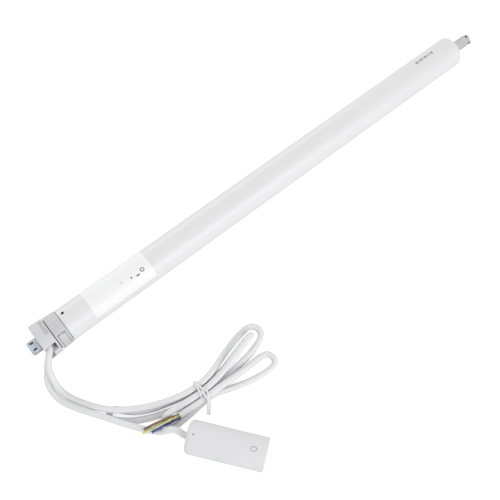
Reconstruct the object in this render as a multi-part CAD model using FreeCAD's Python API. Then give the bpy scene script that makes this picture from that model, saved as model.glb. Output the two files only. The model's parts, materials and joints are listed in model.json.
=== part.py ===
import FreeCAD, Part

import math
import os

# Tubular motor of a roller shade, lying on a table with its cable hank and its
# radio receiver. Millimetres. X runs along the motor from the head's end face
# towards the drive shaft, Z is up, and the origin is on the motor's axis.

V = FreeCAD.Vector
X_AXIS = V(1, 0, 0)

# Outer tube
tube_diameter = 35.0
tube_wall = 1.0
tube_start = 28.9
shoulder_radius = 3.5
end_opening_diameter = 21.0
inner_clearance = 0.1

# Head
head_end_diameter = 39.4
head_diameter = 38.0
head_length = 14.6
flange_diameter = 38.5
flange_thickness = 1.3
head_chamfer = 0.6
neck_length = 33.4
neck_bore_diameter = 28.0
web_start = 20.0
web_thickness = 2.4
channel_depth_y = 7.0
channel_top = 13.2
channel_step = 5.6
channel_bottom = -3.2
channel_rear = 12.6
lower_channel_rear = 6.6
wire_hole_diameter = 4.4
wire_hole_place = (-8.8, 7.4)
panel_start = 9.6
panel_width = 3.2
panel_depth = 0.5
panel_angles = (53.0, 103.0)

# Bracket tongue
tongue_width = 14.0
tongue_thickness = 5.0
tongue_reach = 10.8
tongue_pocket_depth = 2.8
tongue_pocket_gap = 0.15
tongue_root_length = 1.6
lobe_radius = 2.2
lobe_notch_depth = 1.8
lobe_notch_half_width = 2.3
slot_length = 4.2
slot_width = 2.2
slot_spacing = 7.4
slot_centre_x = -5.9
screw_diameter = 2.0

# Crown and position encoder
crown_start = 15.4
crown_end = 28.4
crown_start_diameter = 36.7
crown_end_diameter = 35.6
crown_edge = 0.3
running_fit = 0.05
crown_counterbore_depth = 0.85
crown_counterbore_diameter = 34.0
crown_teeth = 84
crown_module = 0.4
crown_gear_start = 22.2
crown_gear_width = 4.4
pocket_start = 17.5
pocket_end = 26.2
pocket_angles = (125.0, 188.0)
pocket_floor_diameter = 35.0
pocket_pad_diameter = 35.6
pocket_line_width = 0.8
pocket_slot_spans = ((17.5, 20.2), (22.4, 25.4))
pocket_slot_angle = 6.0
clip_thickness = 0.8
clip_gap = 0.08
clip_depth = 0.5
clip_opening = 7.0
pinion_teeth = 20
pinion_face_width = 3.4
pinion_pin_diameter = 2.0
magnet_diameter = 5.0
magnet_length = 2.2
sensor_board_thickness = 1.2

# Screws through the tube into the neck
tube_screw_x = 33.8
tube_screw_diameter = 3.2
tube_screw_angle = 74.0
tube_screw_clearance = 0.05

# Rating label
label_start = 57.9
label_length = 71.5
label_thickness = 0.12
label_angles = (-4.0, 158.5)

# Control electronics
tray_gap = 2.0
tray_start = head_length + neck_length + tray_gap
tray_length = 150.0
tray_wall = 1.6
board_thickness = 1.6
board_end_gap = 4.0
relay_size = (19.0, 10.0, 12.0)
relay_inset = 12.0
relay_gap = 5.0
terminal_inset = 1.0
terminal_size = (7.0, 20.0, 8.0)
chip_inset = 64.0
chip_size = (12.0, 12.0, 1.6)
transformer_inset = 84.0
transformer_size = (20.0, 16.0, 10.0)
plug_inset = 3.0
plug_size = (9.0, 18.0, 8.0)
capacitor_diameter = 27.0
capacitor_length = 56.0
capacitor_gap = 22.0
capacitor_start = tray_start + tray_length + capacitor_gap
saddle_inset = 5.0
saddle_width = 7.0

# Brake and motor
brake_space = 38.0
brake_start = capacitor_start + capacitor_length + brake_space
brake_length = 24.0
brake_bore_diameter = 9.0
brake_gap = 0.3
brake_disc_diameter = 27.0
brake_disc_thickness = 3.0
brake_disc_space = 12.0
shield_thickness = 6.0
rear_shield_start = brake_start + brake_length + brake_disc_space
winding_length = 9.0
rear_winding_gap = 3.0
front_winding_gap = 5.0
stator_start = rear_shield_start + shield_thickness + rear_winding_gap + winding_length
stator_length = 74.0
stator_bore_diameter = 18.8
air_gap = 0.35
winding_wall = 5.4
front_shield_start = stator_start + stator_length + winding_length + front_winding_gap
rotor_shaft_diameter = 5.0
rotor_shaft_overhang = 3.0
rotor_shaft_start = brake_start - rotor_shaft_overhang
bearing_outer_diameter = 13.0
bearing_width = 4.0

# Planetary gearbox, two stages in one ring gear
gear_module = 0.55
sun_teeth = 12
planet_teeth = 18
ring_teeth = sun_teeth + 2 * planet_teeth
planet_count = 3
backlash = 0.07
tip_share = 0.85
root_share = 1.12
pressure_angle = 20.0
input_plate_gap = 2.0
input_plate_length = 39.0
ring_gear_start = front_shield_start + shield_thickness + input_plate_gap + input_plate_length
ring_gear_length = 44.0
planet_inset = 5.0
first_planet_start = ring_gear_start + planet_inset
first_face_width = 7.0
first_carrier_thickness = 4.0
second_face_width = 10.0
second_carrier_thickness = 5.0
stage_gap = 1.0
planet_pin_diameter = 2.4
carrier_rim = 1.2
end_plate_thickness = 11.0
end_plate_gap = 0.3
end_plate_start = ring_gear_start + ring_gear_length
end_plate_end = end_plate_start + end_plate_thickness
tube_end = end_plate_end + end_plate_gap + tube_wall
end_boss_length = 2.4
boss_clearance = 0.2
bush_wall = 2.0

# Drive shaft
journal_diameter = 11.0
shaft_square = 8.0
shaft_length = 24.9
shaft_end = tube_end + end_boss_length + shaft_length
shaft_groove_offset = 3.4
shaft_groove_width = 1.3
shaft_groove_diameter = 9.4
shaft_chamfer = 0.7

# Receiver
receiver_diameter = 32.3
receiver_length = 74.7
receiver_wall = 2.0
receiver_round = 4.0
receiver_cap_thickness = 2.5
receiver_cap_skirt = 6.0
receiver_cap_edge = 0.7
receiver_angle = -52.41
receiver_x = 58.0
receiver_y = -159.74
gland_diameter = 9.6
gland_thickness = 3.0
gland_approach = 6.2
receiver_board_inset = 1.5
receiver_board_gap = 1.7
receiver_board_width = 22.0
radio_inset = 9.5
radio_size = (16.0, 14.0, 3.0)
coil_diameter = 6.0
coil_front_gap = 6.0
coil_rear_gap = 7.3
switch_width = 6.0
switch_reach = (3.0, 1.4)
lens_position = 6.4
lens_diameter = 1.4
button_from_end = 12.4
button_position = receiver_length - button_from_end
button_length = 5.6
button_width = 3.6
button_recess = 0.5
button_gap = 0.3
button_flange = 0.8
button_travel = 0.4
switch_height = 3.5

# Cables
cable_diameter = 6.4
core_diameter = 2.4
core_offset = 1.5
core_exit = 3.5
tie_thickness = 1.2
tie_width = 4.4
tie_tail_diameter = 2.4
floor_z = -head_end_diameter / 2
sections = 40

tube_radius = tube_diameter / 2
tube_bore_radius = tube_radius - tube_wall
inner_radius = tube_bore_radius - inner_clearance
head_radius = head_diameter / 2
head_end_radius = head_end_diameter / 2
neck_end = head_length + neck_length


def cylinder_x(start, end, radius, y=0.0, z=0.0):
    """A round bar along X."""
    return Part.makeCylinder(radius, end - start, V(start, y, z), X_AXIS)


def ring_x(start, end, outer, inner, y=0.0, z=0.0):
    """A bored bar along X."""
    bar = cylinder_x(start, end, outer, y, z)
    return bar.cut(cylinder_x(start - 1, end + 1, inner, y, z))


def box(x0, x1, y0, y1, z0, z1):
    return Part.makeBox(x1 - x0, y1 - y0, z1 - z0, V(x0, y0, z0))


def block(x, size, base):
    """A box from x on, centred across Y, standing on a base."""
    long, wide, high = size
    return box(x, x + long, -wide / 2, wide / 2, base, base + high)


def polygon_face(points):
    return Part.Face(Part.makePolygon(points + [points[0]]))


def revolved(profile):
    """A solid of revolution about X from (x, radius) corners."""
    face = polygon_face([V(x, 0, radius) for x, radius in profile])
    return face.revolve(V(0, 0, 0), X_AXIS, 360)


def around(angle, radius):
    """Y and Z of a point at an angle from +Y towards +Z."""
    turn = math.radians(angle)
    return radius * math.cos(turn), radius * math.sin(turn)


def sector(start, end, outer, inner, first, last):
    """Part of a ring along X between two angles from +Y towards +Z."""
    bar = Part.makeCylinder(outer, end - start, V(start, 0, 0), X_AXIS, last - first)
    bore = Part.makeCylinder(inner, end - start, V(start, 0, 0), X_AXIS, last - first)
    piece = bar.cut(bore)
    piece.rotate(V(0, 0, 0), X_AXIS, first - start_angle_of_bars())
    return piece


def start_angle_of_bars():
    """The angle at which a part cylinder along X begins."""
    probe = Part.makeCylinder(1.0, 1.0, V(0, 0, 0), X_AXIS, 10.0)
    centre = probe.CenterOfMass
    return math.degrees(math.atan2(centre.z, centre.y)) - 5.0


def involute(angle):
    return math.tan(angle) - angle


def gear_outline(teeth, module, root, tip, widening, x, first_angle=90.0):
    """Closed outline of a toothed wheel with straight sided involute teeth."""
    pitch = teeth * module / 2
    base = pitch * math.cos(math.radians(pressure_angle))
    half = math.pi / (2 * teeth) + widening / (2 * pitch)
    half += involute(math.radians(pressure_angle))

    def half_angle(radius):
        if radius <= base:
            return half
        return half - involute(math.acos(base / radius))

    radii = [root, tip]
    if root < base:
        radii = [root, base, tip]
    points = []
    for number in range(teeth):
        middle = math.radians(first_angle) + 2 * math.pi * number / teeth
        rising = [(radius, middle - half_angle(radius)) for radius in radii]
        falling = [(radius, middle + half_angle(radius)) for radius in reversed(radii)]
        for radius, turn in rising + falling:
            points.append(V(x, radius * math.cos(turn), radius * math.sin(turn)))
    return points


def toothed_bar(teeth, module, start, width, tip_part, root_part, widening, first_angle=90.0):
    """A gear along X, centred on the X axis."""
    pitch = teeth * module / 2
    tip = pitch + tip_part * module
    root = pitch - root_part * module
    outline = gear_outline(teeth, module, root, tip, widening, start, first_angle)
    return polygon_face(outline).extrude(V(width, 0, 0))


# Routes of cables: straight runs joined by tangent arcs

def corner_arc(before, corner, after):
    """Start, middle and end of the arc at a corner, with its radius."""
    back = before - corner
    forth = after - corner
    reach = 0.45 * min(back.Length, forth.Length)
    back.normalize()
    forth.normalize()
    turn = math.pi - back.getAngle(forth)
    radius = reach / math.tan(turn / 2)
    middle = back + forth
    middle.normalize()
    centre = corner + middle * (radius / math.cos(turn / 2))
    inner = centre - middle * radius
    return corner + back * reach, inner, corner + forth * reach, radius


def route_wire(points):
    """The path through the points, its length and the radii of its arcs."""
    corners = [V(*p) for p in points]
    edges = []
    radii = []
    last = corners[0]
    for before, corner, after in zip(corners, corners[1:], corners[2:]):
        first, middle, end, radius = corner_arc(before, corner, after)
        edges.append(Part.LineSegment(last, first).toShape())
        edges.append(Part.Arc(first, middle, end).toShape())
        radii.append(radius)
        last = end
    edges.append(Part.LineSegment(last, corners[-1]).toShape())
    return Part.Wire(edges), sum(e.Length for e in edges), radii


def route_tube(name, points, diameter):
    """A round tube along a route, with its radii and its volume printed."""
    wire, length, radii = route_wire(points)
    start = V(*points[0])
    heading = V(*points[1]) - start
    section = Part.Wire(Part.makeCircle(diameter / 2, start, heading))
    tube = wire.makePipeShell([section], True, False)
    area = math.pi * diameter ** 2 / 4
    print(name, "length", round(length, 1), "radii", [round(r, 1) for r in radii])
    print(name, "volume over section times length", round(tube.Volume / (area * length), 4))
    return tube


def sampled(points, step=2.0):
    wire, length, _ = route_wire(points)
    return wire.discretize(int(length / step)), length / int(length / step)


def least_self_gap(points, diameter):
    """The least distance between the surfaces of turns that aren't next along the cable."""
    spots, step = sampled(points)
    skip = int(4 * diameter / step)
    least = 1e9
    for number, spot in enumerate(spots):
        for other in spots[number + skip:]:
            least = min(least, (spot - other).Length)
    return least - diameter


def least_gap(points, others, first_diameter, second_diameter):
    spots, _ = sampled(points)
    rest, _ = sampled(others)
    least = min((spot - other).Length for spot in spots for other in rest)
    return least - (first_diameter + second_diameter) / 2


receiver_radius = receiver_diameter / 2
receiver_z = floor_z + receiver_radius
receiver_side = (math.cos(math.radians(receiver_angle)), math.sin(math.radians(receiver_angle)))

# Cable routes, taken from the photographed object lying on the table
power_lead_route = [
    (6.0, -9.6, 8.9),
    (6.0, -14.4, 8.9),
    (-0.4, -20.6, 9.0),
    (-6.2, -26.9, 3.4),
    (-9.3, -34.2, -7.2),
    (-10.2, -43.5, -14.7),
    (-6.9, -56.4, -16.4),
    (0.2, -69.4, -14.1),
    (8.8, -83.3, -9.4),
    (20.2, -95.6, -9.4),
    (34.2, -106.6, -9.4),
    (48.2, -114.6, -9.4),
    (61.8, -120.0, -9.1),
    (72.0, -123.4, -8.2),
]
hank_route = [
    (72.0, -123.4, -8.2),
    (82.2, -126.8, -7.3),
    (106.0, -127.2, -7.1),
    (120.0, -122.4, -9.6),
    (134.0, -116.8, -14.5),
    (149.0, -111.6, -16.4),
    (168.0, -108.6, -16.4),
    (175.6, -112.2, -16.4),
    (178.0, -119.6, -16.4),
    (173.6, -126.6, -16.4),
    (158.0, -131.4, -16.4),
    (140.0, -134.0, -16.4),
    (122.0, -136.2, -16.1),
    (103.0, -134.4, -14.0),
    (87.0, -134.5, -14.0),
    (74.0, -132.8, -16.3),
    (58.5, -128.0, -16.4),
    (43.0, -122.4, -16.4),
    (25.2, -114.4, -16.4),
    (7.8, -100.1, -16.4),
    (17.2, -88.9, -16.4),
    (33.4, -102.4, -16.4),
    (50.0, -113.0, -16.4),
    (66.0, -120.2, -16.4),
    (79.0, -125.0, -16.0),
    (90.0, -127.5, -14.0),
    (104.0, -127.6, -14.1),
    (120.0, -128.8, -16.2),
    (135.0, -125.4, -16.4),
    (149.6, -121.4, -16.4),
    (165.0, -117.6, -16.4),
    (165.4, -121.5, -1.5),
    (149.8, -124.6, -3.1),
    (136.0, -128.0, -6.5),
    (120.0, -131.8, -7.9),
    (104.0, -134.4, -7.1),
    (88.0, -134.4, -7.1),
    (76.0, -132.9, -7.4),
    (65.2, -131.5, -7.8),
    (50.0, -130.6, -7.3),
    (50.0, -142.8, -16.4),
    (65.2, -142.4, -16.4),
    (77.0, -142.2, -16.0),
    (89.0, -141.4, -14.0),
    (103.0, -141.4, -14.0),
    (116.0, -146.6, -16.0),
    (130.0, -151.6, -16.4),
    (146.0, -155.4, -16.4),
    (164.9, -157.0, -16.4),
    (169.7, -152.4, -16.4),
    (169.7, -145.6, -16.4),
    (164.9, -141.0, -16.4),
    (148.0, -141.2, -15.7),
    (132.0, -141.2, -12.1),
    (118.0, -141.6, -8.7),
    (103.0, -141.4, -7.1),
    (89.0, -141.4, -7.1),
    (76.5, -140.1, -8.5),
    (64.3, -138.6, -9.4),
]
receiver_lead_route = [
    (3.3, -9.6, 2.0),
    (3.3, -14.2, 2.0),
    (-2.6, -19.6, 0.8),
    (-8.6, -23.9, -7.4),
    (-14.8, -30.4, -13.3),
    (-17.4, -41.5, -16.4),
    (-15.8, -56.0, -16.1),
    (-8.8, -71.0, -13.5),
    (-0.9, -84.8, -9.7),
    (8.2, -98.4, -9.4),
    (18.0, -112.0, -9.4),
    (28.6, -125.0, -9.4),
    (39.6, -136.4, -8.3),
    (49.6, -146.8, -5.1),
    (receiver_x - gland_approach * receiver_side[0], receiver_y - gland_approach * receiver_side[1], receiver_z),
    (receiver_x, receiver_y, receiver_z),
]


def core_route(place, bend):
    """One bared core, from its place in the jacket to its free end."""
    side = core_offset * math.cos(math.radians(place))
    height = core_offset * math.sin(math.radians(place))
    end = V(*hank_route[-1])
    heading = end - V(*hank_route[-2])
    heading.normalize()
    across = V(-heading.y, heading.x, 0)
    across.normalize()
    up = across.cross(heading) * -1
    start = end + across * side + up * height
    first = start + heading * core_exit
    points = [start, first] + [V(*p) for p in bend]
    return [tuple(p) for p in points]


core_routes = {
    "core_brown": core_route(205, [(54.2, -134.2, -2.9), (42.6, -130.2, -2.9), (31.8, -125.8, -4.1)]),
    "core_earth": core_route(85, [(54.4, -138.0, -2.1), (41.6, -134.2, -2.2), (30.5, -132.3, -3.3)]),
    "core_blue": core_route(325, [(52.6, -139.6, -5.9), (43.4, -137.7, -2.4), (34.4, -136.4, -3.3)]),
}


def make_motor_tube():
    """White steel tube, rolled in over the gearbox at its drive end."""
    inner_round = max(shoulder_radius - tube_wall, 0.2)
    straight = tube_end - shoulder_radius
    opening = end_opening_diameter / 2

    def turned(share, radius):
        side = radius * math.sin(share * math.pi / 4)
        rise = radius * (1 - math.cos(share * math.pi / 4))
        return side, rise

    outer_mid = turned(1, shoulder_radius)
    inner_mid = turned(1, inner_round)
    a = V(tube_start, 0, tube_radius)
    b = V(straight, 0, tube_radius)
    b_mid = V(straight + outer_mid[0], 0, tube_radius - outer_mid[1])
    c = V(tube_end, 0, tube_radius - shoulder_radius)
    d = V(tube_end, 0, opening)
    e = V(tube_end - tube_wall, 0, opening)
    f = V(tube_end - tube_wall, 0, tube_bore_radius - inner_round)
    g = V(tube_end - tube_wall - inner_round, 0, tube_bore_radius)
    g_mid = V(g.x + inner_mid[0], 0, tube_bore_radius - inner_mid[1])
    h = V(tube_start, 0, tube_bore_radius)
    edges = [
        Part.LineSegment(a, b).toShape(),
        Part.Arc(b, b_mid, c).toShape(),
        Part.LineSegment(c, d).toShape(),
        Part.LineSegment(d, e).toShape(),
        Part.LineSegment(e, f).toShape(),
        Part.Arc(f, g_mid, g).toShape(),
        Part.LineSegment(g, h).toShape(),
        Part.LineSegment(h, a).toShape(),
    ]
    tube = Part.Face(Part.Wire(edges)).revolve(V(0, 0, 0), X_AXIS, 360)
    for side in (0, 180):
        y, z = around(tube_screw_angle + side, 1)
        hole = Part.makeCylinder(
            tube_screw_diameter / 2 + tube_screw_clearance,
            tube_radius + 1,
            V(tube_screw_x, 0, 0),
            V(0, y, z),
        )
        tube = tube.cut(hole)
    return tube


clip_groove_start = crown_end - crown_counterbore_depth
clip_groove_radius = inner_radius - clip_depth
pinion_centre = crown_module * (crown_teeth - pinion_teeth) / 2
pinion_tip = crown_module * (pinion_teeth / 2 + 0.9)
web_end = web_start + web_thickness
pinion_start = crown_gear_start + (crown_gear_width - pinion_face_width) / 2
sensor_board_start = pinion_start + pinion_face_width + magnet_length + 0.6


def make_head_body():
    """Moulded head: end block, flange, cable channel and hollow neck."""
    flange_start = head_length - flange_thickness
    profile = [
        (0, 0),
        (0, head_end_radius - head_chamfer),
        (head_chamfer, head_end_radius),
        (flange_start, head_radius),
        (flange_start, flange_diameter / 2),
        (head_length, flange_diameter / 2),
        (head_length, inner_radius),
        (clip_groove_start, inner_radius),
        (clip_groove_start, clip_groove_radius),
        (clip_groove_start + clip_thickness + clip_gap, clip_groove_radius),
        (clip_groove_start + clip_thickness + clip_gap, inner_radius),
        (neck_end, inner_radius),
        (neck_end, 0),
    ]
    head = revolved(profile)
    bore = neck_bore_diameter / 2
    head = head.cut(cylinder_x(web_end, neck_end + 1, bore))
    head = head.cut(cylinder_x(channel_rear + 2, web_start, bore))
    wire_y, wire_z = wire_hole_place
    head = head.cut(cylinder_x(channel_rear - 1, web_end + 1, wire_hole_diameter / 2, wire_y, wire_z))
    for rear, low, high in (
        (channel_rear, channel_step, channel_top),
        (lower_channel_rear, channel_bottom, channel_step + 0.5),
    ):
        head = head.cut(box(-1, rear, -head_end_diameter, -channel_depth_y, low, high))
    gap = tongue_pocket_gap
    pocket = box(
        -1,
        tongue_pocket_depth,
        -tongue_width / 2 - gap,
        tongue_width / 2 + gap,
        -tongue_thickness / 2 - gap,
        tongue_thickness / 2 + gap,
    )
    head = head.cut(pocket)
    for side in (-1, 1):
        screw = cylinder_x(0, channel_rear, screw_diameter / 2, side * slot_spacing / 2)
        head = head.cut(screw)
    first, last = panel_angles
    panel = sector(
        panel_start,
        panel_start + panel_width,
        head_end_radius + 1,
        head_radius - panel_depth,
        first,
        last,
    )
    head = head.cut(panel)
    window = box(
        crown_gear_start - 0.3,
        crown_gear_start + crown_gear_width + 0.3,
        -pinion_tip - 0.5,
        pinion_tip + 0.5,
        pinion_centre - pinion_tip - 0.5,
        inner_radius + 1,
    )
    head = head.cut(window)
    magnet_room = magnet_diameter / 2 + 0.4
    head = head.cut(cylinder_x(web_end, sensor_board_start, magnet_room, 0, pinion_centre))
    pin_hole = cylinder_x(web_start - 1, web_end + 1, pinion_pin_diameter / 2, 0, pinion_centre)
    head = head.cut(pin_hole)
    for side in (0, 180):
        y, z = around(tube_screw_angle + side, 1)
        hole = Part.makeCylinder(
            tube_screw_diameter / 2 + tube_screw_clearance,
            inner_radius + 1,
            V(tube_screw_x, 0, 0),
            V(0, y, z),
        )
        head = head.cut(hole)
    return head


def make_bracket_tongue():
    """Zinc tongue with two rounded lobes, each with a slot along the motor."""
    half = tongue_width / 2
    thickness = V(0, 0, tongue_thickness)
    base = -tongue_thickness / 2
    plate = box(-tongue_reach, tongue_root_length, -half, half, base, -base)
    corners = []
    for edge in plate.Edges:
        middle = edge.CenterOfMass
        upright = abs(edge.tangentAt(edge.FirstParameter).z) > 0.99
        if upright and middle.x < -tongue_reach + 0.01:
            corners.append(edge)
    plate = plate.makeFillet(lobe_radius, corners)
    notch = polygon_face([
        V(-tongue_reach - 1, -lobe_notch_half_width, base),
        V(-tongue_reach + lobe_notch_depth, 0, base),
        V(-tongue_reach - 1, lobe_notch_half_width, base),
    ]).extrude(thickness)
    plate = plate.cut(notch)
    run = slot_length - slot_width
    for side in (-1, 1):
        y = side * slot_spacing / 2
        slot = box(
            slot_centre_x - run / 2,
            slot_centre_x + run / 2,
            y - slot_width / 2,
            y + slot_width / 2,
            base - 1,
            -base + 1,
        )
        for end in (-1, 1):
            round_end = Part.makeCylinder(
                slot_width / 2,
                tongue_thickness + 2,
                V(slot_centre_x + end * run / 2, y, base - 1),
            )
            slot = slot.fuse(round_end)
        plate = plate.cut(slot)
    shoulder = box(tongue_root_length, tongue_pocket_depth, -half, half, base, -base)
    tongue = plate.fuse(shoulder).removeSplitter()
    for side in (-1, 1):
        y = side * slot_spacing / 2
        tongue = tongue.cut(cylinder_x(-0.6, tongue_pocket_depth + 1, screw_diameter / 2, y))
    return tongue


def make_bracket_screws():
    """Two screws that hold the tongue in the head, driven along the motor."""
    screws = []
    for side in (-1, 1):
        y = side * slot_spacing / 2
        screws.append(cylinder_x(-0.5, channel_rear - 0.2, screw_diameter / 2 - 0.02, y))
    return Part.makeCompound(screws)


def make_cable_clamp():
    """Strain relief block behind both cables in the channel."""
    face = power_lead_route[0][1]
    play = 0.05
    front = 0.3
    back = -channel_depth_y - play
    upper = box(front, channel_rear - play, face, back, channel_step + play, channel_top - play)
    lower = box(front, lower_channel_rear - play, face, back, channel_bottom + play, channel_step + 2 * play)
    return upper.fuse(lower).removeSplitter()


def make_crown_ring():
    """Crown that turns with the shade tube and drives the position encoder."""
    bore = inner_radius + running_fit
    first_radius = crown_start_diameter / 2
    last_radius = crown_end_diameter / 2
    clip_room = clip_groove_start - 0.1
    clip_radius = crown_counterbore_diameter / 2
    profile = [
        (crown_start, bore),
        (crown_start, first_radius - crown_edge),
        (crown_start + crown_edge, first_radius),
        (crown_end - crown_edge, last_radius),
        (crown_end, last_radius - crown_edge),
        (crown_end, clip_radius),
        (clip_room, clip_radius),
        (clip_room, bore),
    ]
    crown = revolved(profile)
    pitch = crown_teeth * crown_module / 2
    spaces = gear_outline(
        crown_teeth,
        crown_module,
        bore - 0.15,
        pitch + 1.1 * crown_module,
        backlash,
        crown_gear_start,
    )
    crown = crown.cut(polygon_face(spaces).extrude(V(crown_gear_width, 0, 0)))
    for side in (0, 180):
        crown = crown.cut(key_pocket(side))
    return crown


def key_pocket(side):
    """Key pocket of the crown: a sunk pad, the deeper line round it and two slots."""
    first, last = [angle + side for angle in pocket_angles]
    above = crown_start_diameter / 2 + 1
    line_angle = math.degrees(pocket_line_width / (pocket_pad_diameter / 2))
    floor = pocket_floor_diameter / 2
    pocket = sector(pocket_start, pocket_end, above, pocket_pad_diameter / 2, first, last)
    frame = sector(pocket_start, pocket_end, above, floor, first, last)
    pad = sector(
        pocket_start + pocket_line_width,
        pocket_end - pocket_line_width,
        above + 1,
        floor - 1,
        first + line_angle,
        last + 1,
    )
    pocket = pocket.fuse(frame.cut(pad))
    for start, end in pocket_slot_spans:
        pocket = pocket.fuse(sector(start, end, above, floor, first, first + pocket_slot_angle))
    return pocket


def make_crown_clip():
    """Spring ring that keeps the crown on the neck."""
    outer = crown_counterbore_diameter / 2 - 0.25
    start = clip_groove_start + clip_gap / 2
    ring = ring_x(start, start + clip_thickness, outer, clip_groove_radius + 0.05)
    gap = box(start - 1, start + 2, -clip_opening / 2, clip_opening / 2, -tube_radius, 0)
    return ring.cut(gap)


def make_encoder_pinion():
    """Pinion in mesh with the crown's inner teeth, free on its pin."""
    gear = toothed_bar(
        pinion_teeth,
        crown_module,
        pinion_start,
        pinion_face_width,
        0.9,
        1.2,
        -backlash,
    )
    bore = pinion_pin_diameter / 2 + running_fit
    gear = gear.cut(cylinder_x(pinion_start - 1, pinion_start + pinion_face_width + 1, bore))
    gear.translate(V(0, 0, pinion_centre))
    return gear


def make_encoder_magnet():
    start = pinion_start + pinion_face_width
    bore = pinion_pin_diameter / 2 + running_fit
    return ring_x(start, start + magnet_length, magnet_diameter / 2, bore, 0, pinion_centre)


def make_encoder_pin():
    end = sensor_board_start
    return cylinder_x(web_start, end, pinion_pin_diameter / 2, 0, pinion_centre)


def make_sensor_board():
    radius = neck_bore_diameter / 2 - inner_clearance
    end = sensor_board_start + sensor_board_thickness
    board = cylinder_x(sensor_board_start, end, radius)
    chip = box(end, end + 1.1, -2.5, 2.5, pinion_centre - 5, pinion_centre - 1.5)
    wire_y, wire_z = wire_hole_place
    hole = cylinder_x(sensor_board_start - 1, end + 1, wire_hole_diameter / 2, wire_y, wire_z)
    return board.cut(hole).fuse(chip)


def make_tube_screws():
    """Two socket screws through the tube into the neck."""
    screws = []
    for side in (0, 180):
        y, z = around(tube_screw_angle + side, 1)
        outward = V(0, y, z)
        foot = V(tube_screw_x, 0, 0) + outward * (neck_bore_diameter / 2 + 0.3)
        top = tube_radius - neck_bore_diameter / 2 - 0.7
        screw = Part.makeCylinder(tube_screw_diameter / 2, top, foot, outward)
        socket = Part.makeCylinder(tube_screw_diameter / 4, 1.0, foot + outward * (top - 0.9), outward)
        screws.append(screw.cut(socket))
    return Part.makeCompound(screws)


def make_label():
    first, last = label_angles
    inner = tube_radius + 0.01
    end = label_start + label_length
    return sector(label_start, end, inner + label_thickness, inner, first, last)


def make_board_tray():
    """Half round plastic tray that carries the control board."""
    end = tray_start + tray_length
    tray = sector(tray_start, end, inner_radius, inner_radius - tray_wall, 180, 360)
    for x in (tray_start, end - tray_wall):
        wall = sector(x, x + tray_wall, inner_radius, inner_radius - 4 * tray_wall, 180, 360)
        tray = tray.fuse(wall)
    return tray.removeSplitter()


board_start = tray_start + board_end_gap
board_end = tray_start + tray_length - board_end_gap
board_half_width = inner_radius - 0.9


def make_control_board():
    return box(board_start, board_end, -board_half_width, board_half_width, 0, board_thickness)


def make_board_relays():
    """Two relays that switch the motor's directions."""
    relays = []
    for number in range(2):
        x = board_start + relay_inset + number * (relay_size[0] + relay_gap)
        relays.append(block(x, relay_size, board_thickness))
    return Part.makeCompound(relays)


def make_board_parts():
    """Terminals, controller chip and transformer, each on the board."""
    parts = [
        block(board_start + terminal_inset, terminal_size, board_thickness),
        block(board_start + chip_inset, chip_size, board_thickness),
        block(board_start + transformer_inset, transformer_size, board_thickness),
        block(board_end - plug_inset - plug_size[0], plug_size, board_thickness),
    ]
    return Part.makeCompound(parts)


def make_capacitor():
    radius = capacitor_diameter / 2
    end = capacitor_start + capacitor_length
    edge = 1.0
    profile = [
        (capacitor_start, 0),
        (capacitor_start, radius - edge),
        (capacitor_start + edge, radius),
        (end - edge, radius),
        (end, radius - edge),
        (end, 0),
    ]
    return revolved(profile)


def make_capacitor_saddles():
    """Two plastic rings that centre the capacitor in the tube."""
    inner = capacitor_diameter / 2 + 0.1
    rings = []
    last = capacitor_start + capacitor_length - saddle_inset - saddle_width
    for x in (capacitor_start + saddle_inset, last):
        rings.append(ring_x(x, x + saddle_width, inner_radius, inner))
    return Part.makeCompound(rings)


def make_brake_coil():
    end = brake_start + brake_length
    coil = ring_x(brake_start, end, inner_radius, brake_bore_diameter / 2)
    groove = ring_x(end - 2, end + 1, inner_radius - 3, brake_bore_diameter / 2 + 3)
    return coil.cut(groove)


brake_disc_start = brake_start + brake_length + brake_gap
shaft_radius = rotor_shaft_diameter / 2


def make_brake_disc():
    end = brake_disc_start + brake_disc_thickness
    disc = cylinder_x(brake_disc_start, end, brake_disc_diameter / 2)
    hub = cylinder_x(end, end + 4, 5.0)
    bore = cylinder_x(brake_disc_start - 1, end + 5, shaft_radius + 0.01)
    return disc.fuse(hub).cut(bore)


def make_shield(start, bearing_side):
    """End shield with the seat of a ball bearing on one side."""
    seat = bearing_outer_diameter / 2
    end = start + shield_thickness
    plate = ring_x(start, end, inner_radius, shaft_radius + 1.0)
    if bearing_side > 0:
        return plate.cut(cylinder_x(end - bearing_width, end + 1, seat))
    return plate.cut(cylinder_x(start - 1, start + bearing_width, seat))


def make_motor_bearings():
    """Two ball bearings, drawn as closed rings."""
    outer = bearing_outer_diameter / 2 - 0.02
    inner = shaft_radius + running_fit
    rear_end = rear_shield_start + shield_thickness
    rear = ring_x(rear_end - bearing_width, rear_end, outer, inner)
    front = ring_x(front_shield_start, front_shield_start + bearing_width, outer, inner)
    return Part.makeCompound([rear, front])


def make_stator_core():
    bore = stator_bore_diameter / 2
    end = stator_start + stator_length
    core = ring_x(stator_start, end, inner_radius, bore)
    for number in range(6):
        y, z = around(60 * number, bore + 0.6)
        core = core.cut(cylinder_x(stator_start - 1, end + 1, 1.3, y, z))
    return core


def make_stator_windings():
    """Winding heads on both ends of the stator, sloped at their free ends."""
    outer = inner_radius - 1.0
    inner = outer - winding_wall
    slope = winding_wall * 0.3
    end = stator_start + stator_length
    heads = []
    for root, tip in ((stator_start, stator_start - winding_length), (end, end + winding_length)):
        step = slope if tip < root else -slope
        profile = [
            (root, inner),
            (root, outer),
            (tip + step, outer),
            (tip, outer - slope),
            (tip, inner + slope),
            (tip + step, inner),
        ]
        heads.append(revolved(profile))
    return Part.makeCompound(heads)


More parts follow.
